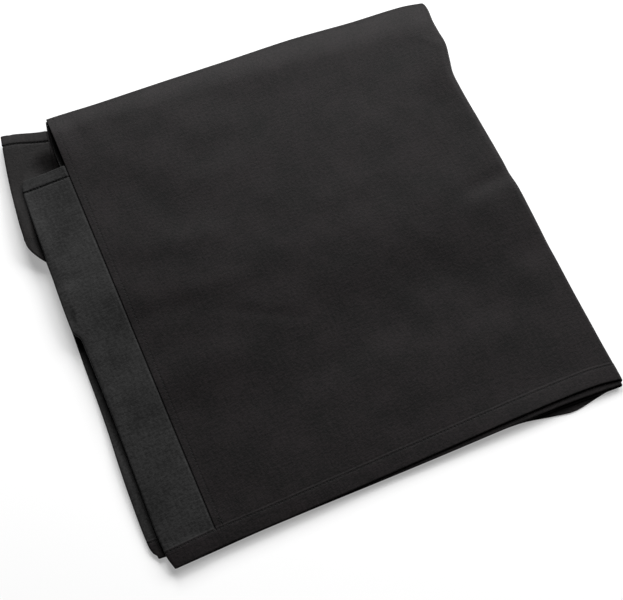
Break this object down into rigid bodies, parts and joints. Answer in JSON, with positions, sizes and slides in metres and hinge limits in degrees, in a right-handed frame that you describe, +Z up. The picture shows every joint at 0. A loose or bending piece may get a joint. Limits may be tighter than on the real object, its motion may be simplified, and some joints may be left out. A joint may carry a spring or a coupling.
{
  "type": "folded speaker cover",
  "caption": "Box-shaped black cloth loudspeaker cover with hemmed handle slots, folded flat into a rectangular stack that rests on a surface.",
  "frame": {"origin": "the middle of the folded cover's outline, on the surface it lies on", "axes": "+X along the bottom hems, from the side strip towards the right fold; +Y from the bottom hems towards the top fold; +Z up, through the layers"},
  "size_m": [0.4822, 0.49, 0.0179],
  "materials": {
    "panel_cloth": "matt black coated polyester, plain oxford weave",
    "side_cloth": "the same cloth, lying with its weave the other way, so a shade lighter",
    "thread": "black polyester sewing thread"
  },
  "bodies": {
    "root": {"front_panel": "panel_cloth", "back_panel": "panel_cloth", "top_panel": "panel_cloth", "left_side_lower": "side_cloth", "left_side_upper": "side_cloth", "right_side_lower": "side_cloth", "right_side_upper": "side_cloth"}
  },
  "joints": []
}
